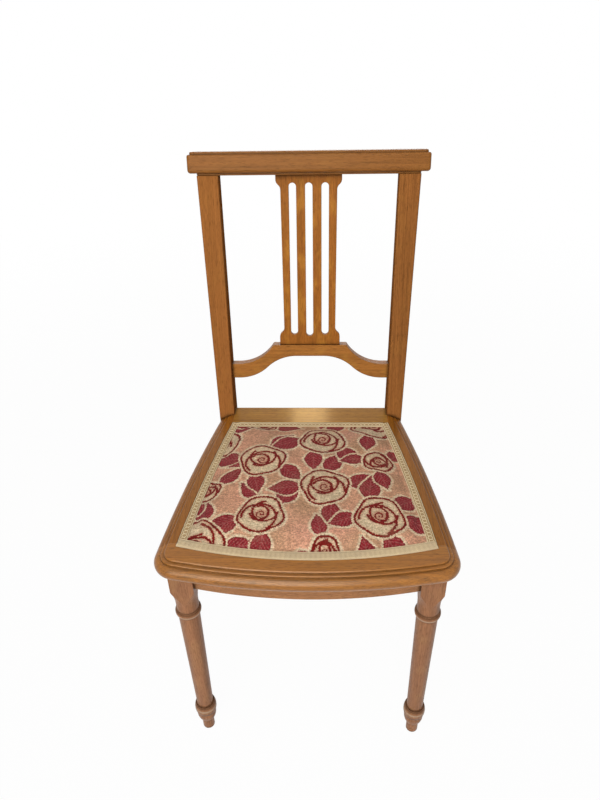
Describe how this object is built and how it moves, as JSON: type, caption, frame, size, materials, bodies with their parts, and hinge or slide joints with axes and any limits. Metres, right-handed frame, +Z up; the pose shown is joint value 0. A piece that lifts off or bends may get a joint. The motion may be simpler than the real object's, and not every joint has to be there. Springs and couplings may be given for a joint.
{
  "type": "upholstered dining chair",
  "caption": "Wooden dining chair with turned front legs, bowed moulded seat frame, slotted splat back and a woven upholstered seat edged with gimp braid.",
  "frame": {"origin": "on the floor, below the middle of the chair's box", "axes": "+Z up, -Y the way a sitter faces, +X to the viewer's right when seen from the front"},
  "size_m": [0.436, 0.5046, 0.8909],
  "materials": {
    "varnished_wood": "honey-brown varnish with a soft gloss and fine straight grain",
    "plain_wood": "bare sawn beech",
    "jute_webbing": "twill jute tape",
    "hessian_cloth": "open plain weave",
    "stuffing_fibre": "curled fibre under wadding",
    "woven_cover": "woven tapestry with cream blooms and crimson leaves on a tan ground",
    "gimp_braid": "straw-coloured flat braid"
  },
  "bodies": {
    "root": {"left_back_post": "varnished_wood", "right_back_post": "varnished_wood", "crest_rail": "varnished_wood", "back_splat": "varnished_wood", "stay_rail": "varnished_wood", "left_front_leg": "varnished_wood", "right_front_leg": "varnished_wood", "front_apron": "varnished_wood", "left_side_apron": "varnished_wood", "right_side_apron": "varnished_wood", "rear_apron": "varnished_wood", "seat_frame_front": "varnished_wood", "seat_frame_left": "varnished_wood", "seat_frame_right": "varnished_wood", "seat_frame_rear": "varnished_wood", "corner_block_front_left": "plain_wood", "corner_block_front_right": "plain_wood", "corner_block_rear_left": "plain_wood", "corner_block_rear_right": "plain_wood", "webbing_front_to_back": "jute_webbing", "webbing_side_to_side": "jute_webbing", "hessian": "hessian_cloth", "seat_stuffing": "stuffing_fibre", "seat_cover": "woven_cover", "gimp_front": "gimp_braid", "gimp_left": "gimp_braid", "gimp_right": "gimp_braid", "gimp_rear": "gimp_braid"}
  },
  "joints": []
}
